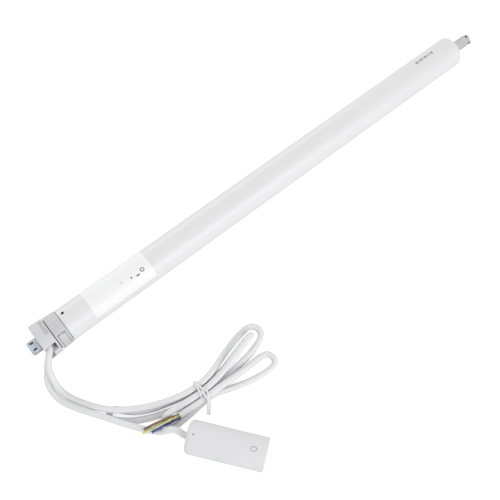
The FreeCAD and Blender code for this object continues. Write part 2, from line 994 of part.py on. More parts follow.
def make_rotor_core():
    radius = stator_bore_diameter / 2 - air_gap
    core = cylinder_x(stator_start + 1, stator_start + stator_length - 1, radius)
    return core.cut(cylinder_x(stator_start, stator_start + stator_length, shaft_radius + 0.01))


planet_orbit = gear_module * (sun_teeth + planet_teeth) / 2
first_planet_end = first_planet_start + first_face_width
first_carrier_start = first_planet_end + stage_gap
first_carrier_end = first_carrier_start + first_carrier_thickness
second_planet_start = first_carrier_end + stage_gap
second_planet_end = second_planet_start + second_face_width
second_carrier_start = second_planet_end + stage_gap
second_carrier_end = second_carrier_start + second_carrier_thickness
carrier_radius = planet_orbit + planet_pin_diameter / 2 + carrier_rim


def planet_angle(number):
    return 90.0 + 360.0 * number / planet_count


def make_rotor_shaft():
    end = first_planet_start - 1.0
    return cylinder_x(rotor_shaft_start, end, shaft_radius)


def sun_gear(start, width):
    """Sun with a tooth space under the first planet."""
    return toothed_bar(
        sun_teeth,
        gear_module,
        start,
        width,
        tip_share,
        root_share,
        -backlash,
        90.0 + 180.0 / sun_teeth,
    )


def make_first_sun():
    start = first_planet_start - 1.0
    return sun_gear(start, first_face_width + 1.5)


def make_planet(start, width, number):
    """Planet wheel, in mesh with the sun and the ring at rest."""
    gear = toothed_bar(
        planet_teeth,
        gear_module,
        start,
        width,
        tip_share,
        root_share,
        -backlash,
    )
    bore = planet_pin_diameter / 2 + running_fit
    gear = gear.cut(cylinder_x(start - 1, start + width + 1, bore))
    own_turn = planet_phase(number)
    gear.rotate(V(0, 0, 0), X_AXIS, own_turn)
    y, z = around(planet_angle(number), planet_orbit)
    gear.translate(V(0, y, z))
    return gear


def planet_phase(number):
    """The planet's own turn after it has rolled inside the ring to its place."""
    place = 360.0 * number / planet_count
    return place * (1 - ring_teeth / planet_teeth)


def carrier(start, thickness, pin_start):
    """Carrier disc with the pins of its planets."""
    disc = cylinder_x(start, start + thickness, carrier_radius)
    for number in range(planet_count):
        y, z = around(planet_angle(number), planet_orbit)
        pin = cylinder_x(pin_start, start, planet_pin_diameter / 2, y, z)
        disc = disc.fuse(pin)
    return disc


def make_first_carrier():
    """Carrier of the first stage with the sun of the second."""
    body = carrier(first_carrier_start, first_carrier_thickness, first_planet_start + 0.2)
    sun = sun_gear(first_carrier_end, second_planet_end - first_carrier_end + 0.5)
    return body.fuse(sun)


def make_second_carrier():
    return carrier(second_carrier_start, second_carrier_thickness, second_planet_start + 0.2)


def make_ring_gear():
    """Ring gear of both stages, the gearbox's housing."""
    pitch = ring_teeth * gear_module / 2
    end = ring_gear_start + ring_gear_length
    body = ring_x(ring_gear_start, end, inner_radius, pitch - tip_share * gear_module)
    spaces = gear_outline(
        ring_teeth,
        gear_module,
        pitch - (tip_share + 0.2) * gear_module,
        pitch + root_share * gear_module,
        backlash,
        ring_gear_start - 1,
    )
    return body.cut(polygon_face(spaces).extrude(V(ring_gear_length + 2, 0, 0)))


boss_radius = end_opening_diameter / 2 - boss_clearance
boss_end = tube_end + end_boss_length
journal_radius = journal_diameter / 2
bush_radius = journal_radius + running_fit + bush_wall


def make_input_plate():
    """Plate between the motor and the gearbox."""
    start = front_shield_start + shield_thickness + input_plate_gap
    plate = ring_x(start, ring_gear_start, inner_radius, 9.0)
    return plate.fuse(ring_x(ring_gear_start - 4.0, ring_gear_start, inner_radius, shaft_radius + 1.5))


def make_end_plate():
    """Output plate of the gearbox, its boss through the tube's rolled end."""
    inner_round = shoulder_radius - tube_wall
    rim = inner_radius - inner_round - 0.2
    profile = [
        (end_plate_start, 0),
        (end_plate_start, inner_radius),
        (end_plate_end - inner_round - 0.3, inner_radius),
        (end_plate_end - 0.15, rim),
        (end_plate_end - 0.15, boss_radius),
        (boss_end, boss_radius),
        (boss_end, 0),
    ]
    plate = revolved(profile)
    return plate.cut(cylinder_x(end_plate_start - 1, boss_end + 1, bush_radius))


def make_output_bush():
    return ring_x(end_plate_start + 0.3, boss_end, bush_radius - 0.02, journal_radius + running_fit)


def make_drive_shaft():
    """Journal in the bush, then the square that drives the shade tube."""
    journal = cylinder_x(second_carrier_end, boss_end + 0.6, journal_radius)
    half = shaft_square / 2
    square = box(boss_end, shaft_end, -half, half, -half, half)
    long_edges = [e for e in square.Edges if abs(e.tangentAt(e.FirstParameter).x) > 0.99]
    square = square.makeChamfer(shaft_chamfer, long_edges)
    groove_end = shaft_end - shaft_groove_offset
    groove = ring_x(groove_end - shaft_groove_width, groove_end, shaft_square, shaft_groove_diameter / 2)
    square = square.cut(groove)
    return journal.fuse(square).removeSplitter()


# Receiver, built along +X from its cable end and then laid on the table

def laid(shape):
    """A receiver piece moved to where the receiver lies."""
    shape.rotate(V(0, 0, 0), V(0, 0, 1), receiver_angle)
    shape.translate(V(receiver_x, receiver_y, receiver_z))
    return shape


def oval(x, length, width, base, height):
    """An upright bar with a rounded oblong section, long along the receiver."""
    run = length - width
    bar = box(x - run / 2, x + run / 2, -width / 2, width / 2, base, base + height)
    for end in (-1, 1):
        bar = bar.fuse(Part.makeCylinder(width / 2, height, V(x + end * run / 2, 0, base)))
    return bar.removeSplitter()


def make_receiver_case():
    """Round case, closed at the cable end, with its holes."""
    bore = receiver_radius - receiver_wall
    case = cylinder_x(0, receiver_length - receiver_cap_thickness, receiver_radius)
    closed_rims = [e for e in case.Edges if e.Closed and e.CenterOfMass.x < 0.1]
    case = case.makeFillet(receiver_round, closed_rims)
    case = case.cut(cylinder_x(gland_thickness, receiver_length, bore))
    case = case.cut(cylinder_x(-1, gland_thickness + 1, gland_diameter / 2))
    case = case.cut(Part.makeCylinder(lens_diameter / 2, receiver_wall + 3, V(lens_position, 0, bore - 1)))
    hole = oval(button_position, button_length + 2 * button_gap, button_width + 2 * button_gap, bore - 1, 6)
    return laid(case.cut(hole))


def make_receiver_cap():
    """End cap with a skirt inside the case."""
    start = receiver_length - receiver_cap_thickness
    edge = receiver_cap_edge
    profile = [
        (start, 0),
        (start, receiver_radius),
        (receiver_length - edge, receiver_radius),
        (receiver_length, receiver_radius - edge),
        (receiver_length, 0),
    ]
    cap = revolved(profile)
    outer = receiver_radius - receiver_wall - inner_clearance
    skirt = ring_x(start - receiver_cap_skirt, start, outer, outer - 1.4)
    notch_start = button_position - button_length / 2 - 1.5
    skirt = skirt.cut(box(notch_start, start - 0.5, -4, 4, 0, receiver_radius))
    return laid(cap.fuse(skirt))


def make_receiver_gland():
    """Grommet that the cable comes out of."""
    gland = cylinder_x(0, gland_thickness + 1.2, gland_diameter / 2 - 0.02)
    return laid(gland)


board_z = -2.0


def make_receiver_board():
    start = gland_thickness + receiver_board_inset
    end = receiver_length - receiver_cap_thickness - receiver_cap_skirt - receiver_board_gap
    half = receiver_board_width / 2
    board = box(start, end, -half, half, board_z, board_z + board_thickness)
    rail_reach = math.sqrt((receiver_radius - receiver_wall) ** 2 - board_z ** 2) - 0.2
    for side in (-1, 1):
        y0, y1 = sorted((side * half * 0.9, side * rail_reach))
        board = board.fuse(box(start + 4, end - 4, y0, y1, board_z, board_z + board_thickness))
    return laid(board.removeSplitter())


def make_receiver_parts():
    """Radio module, antenna coil former and the push switch on the board."""
    base = board_z + board_thickness
    switch_top = receiver_radius - receiver_wall - switch_height
    behind, ahead = switch_reach
    side = switch_width / 2
    switch_start = button_position - behind
    radio_start = gland_thickness + receiver_board_inset + radio_inset
    coil_start = radio_start + radio_size[0] + coil_front_gap
    coil_radius = coil_diameter / 2
    parts = [
        block(radio_start, radio_size, base),
        cylinder_x(coil_start, switch_start - coil_rear_gap, coil_radius, 0, base + coil_radius),
        box(switch_start, button_position + ahead, -side, side, base, switch_top),
    ]
    return laid(Part.makeCompound(parts))


def make_receiver_lens():
    """Light guide from the board to the case's surface."""
    base = board_z + board_thickness
    height = receiver_radius - 0.15 - base
    return laid(Part.makeCylinder(lens_diameter / 2 - 0.05, height, V(lens_position, 0, base)))


def make_program_button():
    """Oval button, sprung by the switch below it."""
    switch_top = receiver_radius - receiver_wall - switch_height
    base = switch_top + button_travel + 0.1
    height = receiver_radius - button_recess - base
    button = oval(button_position, button_length, button_width, base, height)
    flange_top = receiver_radius - receiver_wall - button_flange
    flange = oval(
        button_position,
        button_length + 2 * button_flange,
        button_width + 2 * button_flange,
        flange_top - button_flange,
        button_flange,
    )
    return laid(button.fuse(flange))


# Twist tie round the six strands of the hank

tie_x = 95.0
tie_clearance = 0.45
strand_ys = (-127.4, -134.4, -141.4)
strand_zs = (-14.0, -7.1)
tie_corner = 3.6


def tie_rectangle():
    reach = cable_diameter / 2 + tie_clearance + tie_thickness / 2
    low_y = min(strand_ys) - reach
    high_y = max(strand_ys) + reach
    low_z = min(strand_zs) - reach
    high_z = max(strand_zs) + reach
    return low_y, high_y, low_z, high_z


def make_twist_tie():
    """Band of tie wire round the six strands."""
    low_y, high_y, low_z, high_z = tie_rectangle()
    half = tie_thickness / 2
    rings = []
    for grow in (half, -half):
        ring = box(
            tie_x - tie_width / 2,
            tie_x + tie_width / 2,
            low_y - grow,
            high_y + grow,
            low_z - grow,
            high_z + grow,
        )
        edges = [e for e in ring.Edges if abs(e.tangentAt(e.FirstParameter).x) > 0.99]
        rings.append(ring.makeFillet(tie_corner + grow, edges))
    outer, inner = rings
    return outer.cut(inner)


def tie_tail_route():
    low_y, _, _, high_z = tie_rectangle()
    top = high_z + (tie_thickness + tie_tail_diameter) / 2 + 0.3
    return [
        (tie_x + 0.6, low_y + 10.0, top),
        (tie_x - 0.8, low_y + 3.4, top),
        (tie_x - 3.4, low_y - 4.4, high_z - 0.4),
        (tie_x - 5.8, low_y - 7.6, high_z - 9.2),
        (tie_x - 8.0, low_y - 9.4, high_z - 14.4),
    ]


def make_tie_tail():
    return route_tube("tie_tail", tie_tail_route(), tie_tail_diameter)


def make_power_lead():
    return route_tube("power_lead", power_lead_route, cable_diameter)


def make_power_hank():
    hank = route_tube("power_hank", hank_route, cable_diameter)
    print("least gap of the hank to itself", round(least_self_gap(hank_route, cable_diameter), 2))
    return hank


def make_receiver_lead():
    return route_tube("receiver_lead", receiver_lead_route, cable_diameter)


def export_all():
    shapes = {
        "motor_tube": make_motor_tube(),
        "head_body": make_head_body(),
        "bracket_tongue": make_bracket_tongue(),
        "bracket_screws": make_bracket_screws(),
        "cable_clamp": make_cable_clamp(),
        "crown_ring": make_crown_ring(),
        "crown_clip": make_crown_clip(),
        "encoder_pinion": make_encoder_pinion(),
        "encoder_magnet": make_encoder_magnet(),
        "encoder_pin": make_encoder_pin(),
        "sensor_board": make_sensor_board(),
        "tube_screws": make_tube_screws(),
        "rating_label": make_label(),
        "board_tray": make_board_tray(),
        "control_board": make_control_board(),
        "board_relays": make_board_relays(),
        "board_parts": make_board_parts(),
        "capacitor": make_capacitor(),
        "capacitor_saddles": make_capacitor_saddles(),
        "brake_coil": make_brake_coil(),
        "brake_disc": make_brake_disc(),
        "rear_shield": make_shield(rear_shield_start, 1),
        "front_shield": make_shield(front_shield_start, -1),
        "motor_bearings": make_motor_bearings(),
        "stator_core": make_stator_core(),
        "stator_windings": make_stator_windings(),
        "rotor_core": make_rotor_core(),
        "rotor_shaft": make_rotor_shaft(),
        "first_sun": make_first_sun(),
        "first_carrier": make_first_carrier(),
        "second_carrier": make_second_carrier(),
        "ring_gear": make_ring_gear(),
        "gear_input_plate": make_input_plate(),
        "gear_end_plate": make_end_plate(),
        "output_bush": make_output_bush(),
        "drive_shaft": make_drive_shaft(),
        "receiver_case": make_receiver_case(),
        "receiver_cap": make_receiver_cap(),
        "receiver_gland": make_receiver_gland(),
        "receiver_board": make_receiver_board(),
        "receiver_parts": make_receiver_parts(),
        "receiver_lens": make_receiver_lens(),
        "program_button": make_program_button(),
        "power_lead": make_power_lead(),
        "power_hank": make_power_hank(),
        "receiver_lead": make_receiver_lead(),
        "twist_tie": make_twist_tie(),
        "tie_tail": make_tie_tail(),
    }
    for number in range(planet_count):
        letter = "abc"[number]
        shapes["first_planet_" + letter] = make_planet(first_planet_start, first_face_width, number)
        shapes["second_planet_" + letter] = make_planet(second_planet_start, second_face_width, number)
    for name, points in core_routes.items():
        shapes[name] = route_tube(name, points, core_diameter)
    gap = least_gap(power_lead_route, receiver_lead_route, cable_diameter, cable_diameter)
    print("least gap between the two leads", round(gap, 2))
    os.makedirs("parts", exist_ok=True)
    for name, shape in shapes.items():
        if not shape.isValid():
            print("not valid:", name)
        shape.exportStep("parts/" + name + ".step")
    print(len(shapes), "nodes")


export_all()
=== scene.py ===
import json
import math

import bmesh
import bpy
from mathutils import Matrix, Vector


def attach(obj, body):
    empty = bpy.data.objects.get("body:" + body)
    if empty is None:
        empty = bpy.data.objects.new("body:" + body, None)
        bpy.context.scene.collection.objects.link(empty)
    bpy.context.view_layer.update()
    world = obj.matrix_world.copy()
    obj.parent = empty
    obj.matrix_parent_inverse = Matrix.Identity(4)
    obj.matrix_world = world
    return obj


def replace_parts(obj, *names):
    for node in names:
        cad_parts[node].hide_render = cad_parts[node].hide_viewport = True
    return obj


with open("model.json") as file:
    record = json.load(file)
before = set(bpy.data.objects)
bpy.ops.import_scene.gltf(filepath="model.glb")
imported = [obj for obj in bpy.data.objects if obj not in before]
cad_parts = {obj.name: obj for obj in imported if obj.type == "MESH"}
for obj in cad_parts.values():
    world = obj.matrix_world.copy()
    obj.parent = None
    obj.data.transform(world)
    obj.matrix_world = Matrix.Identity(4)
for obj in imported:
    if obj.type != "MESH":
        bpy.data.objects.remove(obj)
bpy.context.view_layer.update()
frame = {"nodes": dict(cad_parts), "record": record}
scene = bpy.context.scene
MM = 0.001


# Camera at the photograph's viewing angle: its lens in millimetres, the rest in metres

focal_length = 54.0
sensor_width = 36.0
nearest_seen = 0.01
farthest_seen = 20.0
camera_place = Vector((0.0189, -0.2989, 0.6943))
camera_right = Vector((0.77630, -0.63036, 0.0)).normalized()
camera_forward = Vector((0.26310, 0.32448, -0.90856)).normalized()
camera_up = camera_right.cross(camera_forward)

camera_data = bpy.data.cameras.new("camera")
camera_data.lens = focal_length
camera_data.sensor_width = sensor_width
camera_data.sensor_fit = "HORIZONTAL"
camera_data.clip_start = nearest_seen
camera_data.clip_end = farthest_seen
camera = bpy.data.objects.new("camera", camera_data)
scene.collection.objects.link(camera)
camera_axes = Matrix((camera_right, camera_up, -camera_forward)).transposed().to_4x4()
camera.matrix_world = Matrix.Translation(camera_place) @ camera_axes
scene.camera = camera


# Materials, with lengths in metres

# The usual span of a noise's values
noise_low = 0.3
noise_high = 0.7
noise_roughness = 0.55
mottle_detail = 4.0
grain_detail = 2.0
# How far a surface's noise moves its colour and its roughness, as shares of them
lighter_share = 0.4
glossier = 0.85
duller = 1.2
coat_rough = 0.25
# How softly the painted shade inside a radius begins
edge_within = 0.00012
edge_beyond = 0.00002
edge_along = 0.0001
# What the painted shade leaves of the colour in the tongue's slots and at its root
slot_shade = 0.04
root_shade = 0.15
# Where in its period a core's second colour starts and is full
stripe_start = 0.49
stripe_full = 0.60
core_grain = 0.0004
core_grain_depth = 0.00003
core_least_rough = 0.28
core_most_rough = 0.42


def new_material(name):
    made = bpy.data.materials.new(name)
    made.use_nodes = True
    tree = made.node_tree
    shader = tree.nodes["Principled BSDF"]
    return made, tree, shader


def object_place(tree):
    """A point's place in the object's own coordinates."""
    return tree.nodes.new("ShaderNodeTexCoord").outputs["Object"]


def separated(tree, source):
    """The outputs X, Y and Z of a vector."""
    made = tree.nodes.new("ShaderNodeSeparateXYZ")
    tree.links.new(source, made.inputs["Vector"])
    return made.outputs


def calculated(tree, operation, *values):
    """The result of a math node. Each value is a socket or a plain number."""
    made = tree.nodes.new("ShaderNodeMath")
    made.operation = operation
    for entry, value in zip(made.inputs, values):
        if isinstance(value, float):
            entry.default_value = value
        else:
            tree.links.new(value, entry)
    return made.outputs["Value"]


def noise(tree, size, detail=3.0, stretch=None):
    """Noise in the object's own coordinates, with features about that size."""
    place = object_place(tree)
    if stretch:
        mapping = tree.nodes.new("ShaderNodeMapping")
        mapping.inputs["Scale"].default_value = stretch
        tree.links.new(place, mapping.inputs["Vector"])
        place = mapping.outputs["Vector"]
    made = tree.nodes.new("ShaderNodeTexNoise")
    made.inputs["Scale"].default_value = 1.0 / size
    made.inputs["Detail"].default_value = detail
    made.inputs["Roughness"].default_value = noise_roughness
    tree.links.new(place, made.inputs["Vector"])
    return made.outputs["Fac"]


def blended(tree, source, first, second, start=0.0, end=1.0):
    """The first colour up to the start, the second from the end on."""
    made = tree.nodes.new("ShaderNodeValToRGB")
    stops = [(start, first), (end, second)]
    for element, (position, colour) in zip(made.color_ramp.elements, stops):
        element.position = position
        element.color = (*colour, 1.0)
    tree.links.new(source, made.inputs["Fac"])
    return made.outputs["Color"]


def spread(tree, source, low, high, first=noise_low, last=noise_high):
    """Maps the span from first to last onto low to high."""
    made = tree.nodes.new("ShaderNodeMapRange")
    made.inputs["From Min"].default_value = first
    made.inputs["From Max"].default_value = last
    made.inputs["To Min"].default_value = low
    made.inputs["To Max"].default_value = high
    tree.links.new(source, made.inputs["Value"])
    return made.outputs["Result"]


def add_bump(tree, shader, source, depth):
    made = tree.nodes.new("ShaderNodeBump")
    made.inputs["Distance"].default_value = depth
    tree.links.new(source, made.inputs["Height"])
    tree.links.new(made.outputs["Normal"], shader.inputs["Normal"])


def tinted(colour, factor):
    return tuple(min(1.0, channel * factor) for channel in colour)


def surface(name, colour, rough, mottle, mottle_size, metal=0.0, grain=0.00005,
            grain_size=0.0006, coat=0.0, stretch=None, other=None):
    """A surface with slow mottling, uneven gloss and a fine grain."""
    made, tree, shader = new_material(name)
    slow = noise(tree, mottle_size, mottle_detail)
    dark = other or tinted(colour, 1.0 - mottle)
    light = tinted(colour, 1.0 + mottle * lighter_share)
    mottled = blended(tree, slow, dark, light, noise_low, noise_high)
    tree.links.new(mottled, shader.inputs["Base Color"])
    fine = noise(tree, grain_size, grain_detail, stretch)
    gloss = noise(tree, mottle_size * 0.5, stretch=stretch)
    uneven = spread(tree, gloss, rough * glossier, min(1.0, rough * duller))
    tree.links.new(uneven, shader.inputs["Roughness"])
    shader.inputs["Metallic"].default_value = metal
    shader.inputs["Coat Weight"].default_value = coat
    shader.inputs["Coat Roughness"].default_value = coat_rough
    add_bump(tree, shader, fine, grain)
    return made


def striped_core(name, first, second, direction, period):
    """Insulation with a band of a second colour along the core."""
    made, tree, shader = new_material(name)
    across = tree.nodes.new("ShaderNodeVectorMath")
    across.operation = "DOT_PRODUCT"
    across.inputs[1].default_value = direction
    tree.links.new(object_place(tree), across.inputs[0])
    wave = calculated(tree, "PINGPONG", across.outputs["Value"], period)
    share = spread(tree, wave, 0.0, 1.0, period * stripe_start, period * stripe_full)
    tree.links.new(blended(tree, share, first, second), shader.inputs["Base Color"])
    fine = noise(tree, core_grain)
    uneven = spread(tree, fine, core_least_rough, core_most_rough)
    tree.links.new(uneven, shader.inputs["Roughness"])
    add_bump(tree, shader, fine, core_grain_depth)
    return made


def darken(made, share):
    """Multiplies a surface's colour by a share that varies over it, which paints shade."""
    tree = made.node_tree
    entry = tree.nodes["Principled BSDF"].inputs["Base Color"]
    scaled = tree.nodes.new("ShaderNodeVectorMath")
    scaled.operation = "SCALE"
    tree.links.new(entry.links[0].from_socket, scaled.inputs[0])
    tree.links.new(share, scaled.inputs["Scale"])
    tree.links.new(scaled.outputs["Vector"], entry)


def painted_shade_inside(made, radius, share, past=None):
    """Paints shade on a surface nearer the motor's axis than a radius, where its recesses and
    grooves are, or only past a place along it.
    """
    tree = made.node_tree
    place = separated(tree, object_place(tree))
    flat = tree.nodes.new("ShaderNodeCombineXYZ")
    tree.links.new(place["Y"], flat.inputs["Y"])
    tree.links.new(place["Z"], flat.inputs["Z"])
    measure = tree.nodes.new("ShaderNodeVectorMath")
    measure.operation = "LENGTH"
    tree.links.new(flat.outputs["Vector"], measure.inputs[0])
    factor = spread(tree, measure.outputs["Value"], share, 1.0,
                    radius - edge_within, radius + edge_beyond)
    if past is not None:
        before = spread(tree, place["X"], 1.0, 0.0, past, past + edge_along)
        factor = calculated(tree, "MAXIMUM", factor, before)
    darken(made, factor)


def near(tree, source, middle, half):
    """One where a value is within half of the middle, else nought."""
    return calculated(tree, "COMPARE", source, middle, half)


def multiplied(tree, first, *others):
    """The product of several values."""
    total = first
    for other in others:
        total = calculated(tree, "MULTIPLY", total, other)
    return total


def painted_shade_tongue(made):
    """Paints shade on the walls of the tongue's two slots and at its root, where it enters the
    head.
    """
    tree = made.node_tree
    place = separated(tree, object_place(tree))
    normal = tree.nodes.new("ShaderNodeNewGeometry").outputs["Normal"]
    facing = separated(tree, normal)
    off_centre = calculated(tree, "ABSOLUTE", place["Y"])
    slot_walls = multiplied(
        tree,
        near(tree, place["X"], middle=-0.0059, half=0.0022),
        near(tree, off_centre, middle=0.0037, half=0.0012),
        near(tree, facing["Z"], middle=0.0, half=0.6),
    )
    root = near(tree, place["X"], middle=0.0006, half=0.0014)
    darken(made, multiplied(
        tree,
        spread(tree, slot_walls, 1.0, slot_shade, 0.0, 1.0),
        spread(tree, root, 1.0, root_shade, 0.0, 1.0),
    ))


white_paint = surface("white_paint", (0.83, 0.83, 0.84), 0.33, mottle=0.015, mottle_size=0.05,
                      grain=0.00003, grain_size=0.0011, coat=0.15)
head_grey = surface("head_plastic", (0.70, 0.70, 0.715), 0.48, mottle=0.04, mottle_size=0.008,
                    grain=0.00004, grain_size=0.0005)
crown_grey = surface("crown_plastic", (0.64, 0.64, 0.655), 0.46, mottle=0.05, mottle_size=0.007,
                     grain=0.00004, grain_size=0.0005)
# Painted shade in the head's recessed panel and cable channel, and in the crown's grooves
painted_shade_inside(head_grey, 0.01870, 0.84, past=0.0006)
painted_shade_inside(head_grey, 0.01760, 0.35, past=0.0140)
painted_shade_inside(head_grey, 0.01650, 0.45, past=0.0100)
painted_shade_inside(crown_grey, 0.01765, 0.55)
zinc = surface("zinc_casting", (0.60, 0.63, 0.72), 0.36, metal=0.75, mottle=0.3, mottle_size=0.004,
               grain=0.00010, grain_size=0.0009, other=(0.40, 0.47, 0.50))
painted_shade_tongue(zinc)
dark_steel = surface("dark_steel", (0.035, 0.035, 0.04), 0.35, metal=0.8, mottle=0.3,
                     mottle_size=0.001)
plain_steel = surface("plain_steel", (0.50, 0.50, 0.52), 0.32, metal=0.95, mottle=0.1,
                      mottle_size=0.003)
ground_steel = surface("ground_steel", (0.56, 0.56, 0.565), 0.32, metal=0.8, mottle=0.08,
                       mottle_size=0.004, grain=0.00002, grain_size=0.0004,
                       stretch=(0.08, 1.0, 1.0))
# Near-black steel for the shaft's clip groove, as painted shade in the groove
groove_painted_shade = surface("groove_painted_shade", (0.09, 0.09, 0.095), 0.4, metal=0.6, mottle=0.2,
                       mottle_size=0.001)
sintered = surface("sintered_steel", (0.34, 0.34, 0.36), 0.5, metal=0.85, mottle=0.15,
                   mottle_size=0.001, grain=0.00006, grain_size=0.0003)
cast_metal = surface("cast_metal", (0.55, 0.55, 0.57), 0.5, metal=0.85, mottle=0.12,
                     mottle_size=0.003, grain=0.00008, grain_size=0.0006)
bronze = surface("bush_bronze", (0.55, 0.38, 0.16), 0.45, metal=0.9, mottle=0.15,
                 mottle_size=0.001)
dark_plastic = surface("inner_plastic", (0.06, 0.062, 0.07), 0.5, mottle=0.1, mottle_size=0.004)
black_part = surface("black_component", (0.02, 0.02, 0.022), 0.42, mottle=0.2, mottle_size=0.002)
shell_grey = surface("capacitor_shell", (0.36, 0.38, 0.41), 0.3, mottle=0.05, mottle_size=0.01)
board_green = surface("circuit_board", (0.015, 0.12, 0.045), 0.28, mottle=0.35,
                      mottle_size=0.0016, grain=0.00003, grain_size=0.0008, coat=0.3)
paper = surface("label_paper", (0.96, 0.96, 0.97), 0.42, mottle=0.01, mottle_size=0.02,
                grain=0.00001, grain_size=0.0004, coat=0.1)
receiver_white = surface("receiver_plastic", (0.80, 0.80, 0.815), 0.36, mottle=0.02,
                         mottle_size=0.02, grain=0.00003, grain_size=0.0005)
button_white = surface("button_plastic", (0.79, 0.79, 0.805), 0.42, mottle=0.04,
                       mottle_size=0.003)
lens_dark = surface("lens_dark", (0.05, 0.05, 0.06), 0.15, mottle=0.1, mottle_size=0.001,
                    coat=0.6)
jacket = surface("cable_jacket", (0.84, 0.84, 0.855), 0.40, mottle=0.03, mottle_size=0.018,
                 grain=0.00004, grain_size=0.0012, coat=0.1)
tie_white = surface("tie_plastic", (0.86, 0.86, 0.88), 0.22, mottle=0.04, mottle_size=0.003,
                    grain=0.00006, grain_size=0.001, coat=0.4)
core_brown = surface("core_brown", (0.26, 0.14, 0.08), 0.30, mottle=0.35, mottle_size=0.006,
                     coat=0.3)
core_blue = surface("core_blue", (0.035, 0.07, 0.30), 0.28, mottle=0.35, mottle_size=0.005,
                    coat=0.4)
core_earth = striped_core("core_yellow_green", first=(0.80, 0.70, 0.28), second=(0.30, 0.42, 0.16),
                          direction=(0.10, 0.55, 0.82), period=0.0012)
copper = surface("winding_copper", (0.55, 0.22, 0.08), 0.3, metal=0.9, mottle=0.3,
                 mottle_size=0.001, grain=0.0002, grain_size=0.0007, stretch=(0.2, 1.0, 1.0))
laminated = surface("core_laminations", (0.25, 0.25, 0.27), 0.45, metal=0.8, mottle=0.2,
                    mottle_size=0.002, grain=0.0001, grain_size=0.0006,
                    stretch=(1.0, 0.02, 0.02))
ink = surface("printed_ink", (0.10, 0.10, 0.105), 0.5, mottle=0.6, mottle_size=0.0015)

finishes = {
    "white_paint": white_paint,
    "head_plastic": head_grey,
    "crown_plastic": crown_grey,
    "zinc_casting": zinc,
    "dark_steel": dark_steel,
    "spring_steel": plain_steel,
    "label_paper": paper,
    "circuit_board": board_green,
    "black_component": black_part,
    "inner_plastic": dark_plastic,
    "capacitor_shell": shell_grey,
    "winding_copper": copper,
    "core_steel": laminated,
    "shaft_steel": ground_steel,
    "gear_steel": sintered,
    "die_cast": cast_metal,
    "bush_bronze": bronze,
    "magnet_black": black_part,
    "receiver_plastic": receiver_white,
    "button_plastic": button_white,
    "lens_dark": lens_dark,
    "cable_jacket": jacket,
    "core_brown": core_brown,
    "core_yellow_green": core_earth,
    "core_blue": core_blue,
    "tie_plastic": tie_white,
}
for subpart in frame["record"]["subparts"]:
    node = frame["nodes"][subpart["node"]]
    node.data.materials.clear()
    node.data.materials.append(finishes[subpart["material_slot"]])


# Cords and the twist tie, with diameters and routes in millimetres

cable_diameter = 6.4
core_diameter = 2.4
tie_wire_diameter = 2.2
cord_roundness = 6
tie_roundness = 5
steps_along = 8


def metres(points):
    return [tuple(value * MM for value in point) for point in points]


def smooth_tubes(name, paths, diameter, finish, roundness):
    """Tubes along smooth curves, with each path's points as its control points."""
    curve = bpy.data.curves.new(name, "CURVE")
    curve.dimensions = "3D"
    curve.bevel_depth = diameter / 2 * MM
    curve.bevel_resolution = roundness
    curve.resolution_u = steps_along
    curve.use_fill_caps = True
    for path in paths:
        spline = curve.splines.new("NURBS")
        spline.points.add(len(path) - 1)
        for point, place in zip(spline.points, metres(path)):
            point.co = (*place, 1.0)
        spline.order_u = 3
        spline.use_endpoint_u = True
    curve.materials.append(finish)
    made = bpy.data.objects.new(name, curve)
    scene.collection.objects.link(made)
    return made


def cord_curve(name, points, diameter, finish):
    """One cord on the motor's body, with the route's points as its control points."""
    made = smooth_tubes(name, [points], diameter, finish, cord_roundness)
    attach(made, "motor")
    return made


tie_paths = [
    # Round the upper strands
    [(93.6, -133.0, -18.4), (93.4, -123.0, -18.2), (93.0, -122.6, -10.0), (92.8, -122.8, -3.2),
     (92.3, -129.0, -2.4), (91.4, -133.8, -2.4), (90.4, -137.9, -3.4), (90.1, -138.3, -5.2)],
    # Over the upper strands, a half twist, and its tail
    [(95.4, -136.0, -18.4), (95.0, -123.0, -18.2), (94.8, -122.6, -10.0), (94.4, -122.8, -3.0),
     (94.0, -129.0, -2.2), (95.0, -133.6, -2.2), (97.4, -137.2, -2.6), (96.4, -141.4, -1.6),
     (93.0, -143.8, -2.4), (92.0, -147.0, -3.4), (88.8, -150.2, -6.4), (84.6, -154.8, -9.6)],
    # Up round the lower strands, back through the twist, and its tail
    [(95.4, -134.0, -18.4), (94.6, -145.6, -18.2), (94.2, -146.8, -10.0), (94.0, -146.2, -4.4),
     (93.6, -144.4, -2.2), (92.6, -140.6, -1.8), (94.4, -137.0, -2.4), (93.6, -134.2, -2.6),
     (92.6, -136.6, -2.6), (93.6, -141.6, -2.2), (94.4, -145.8, -3.4), (92.4, -148.8, -5.6),
     (89.4, -152.4, -8.6), (86.4, -155.8, -10.4)],
]
tie_wire = smooth_tubes("tie_wire", tie_paths, tie_wire_diameter, tie_white, tie_roundness)
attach(tie_wire, "motor")
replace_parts(tie_wire, "twist_tie", "tie_tail")

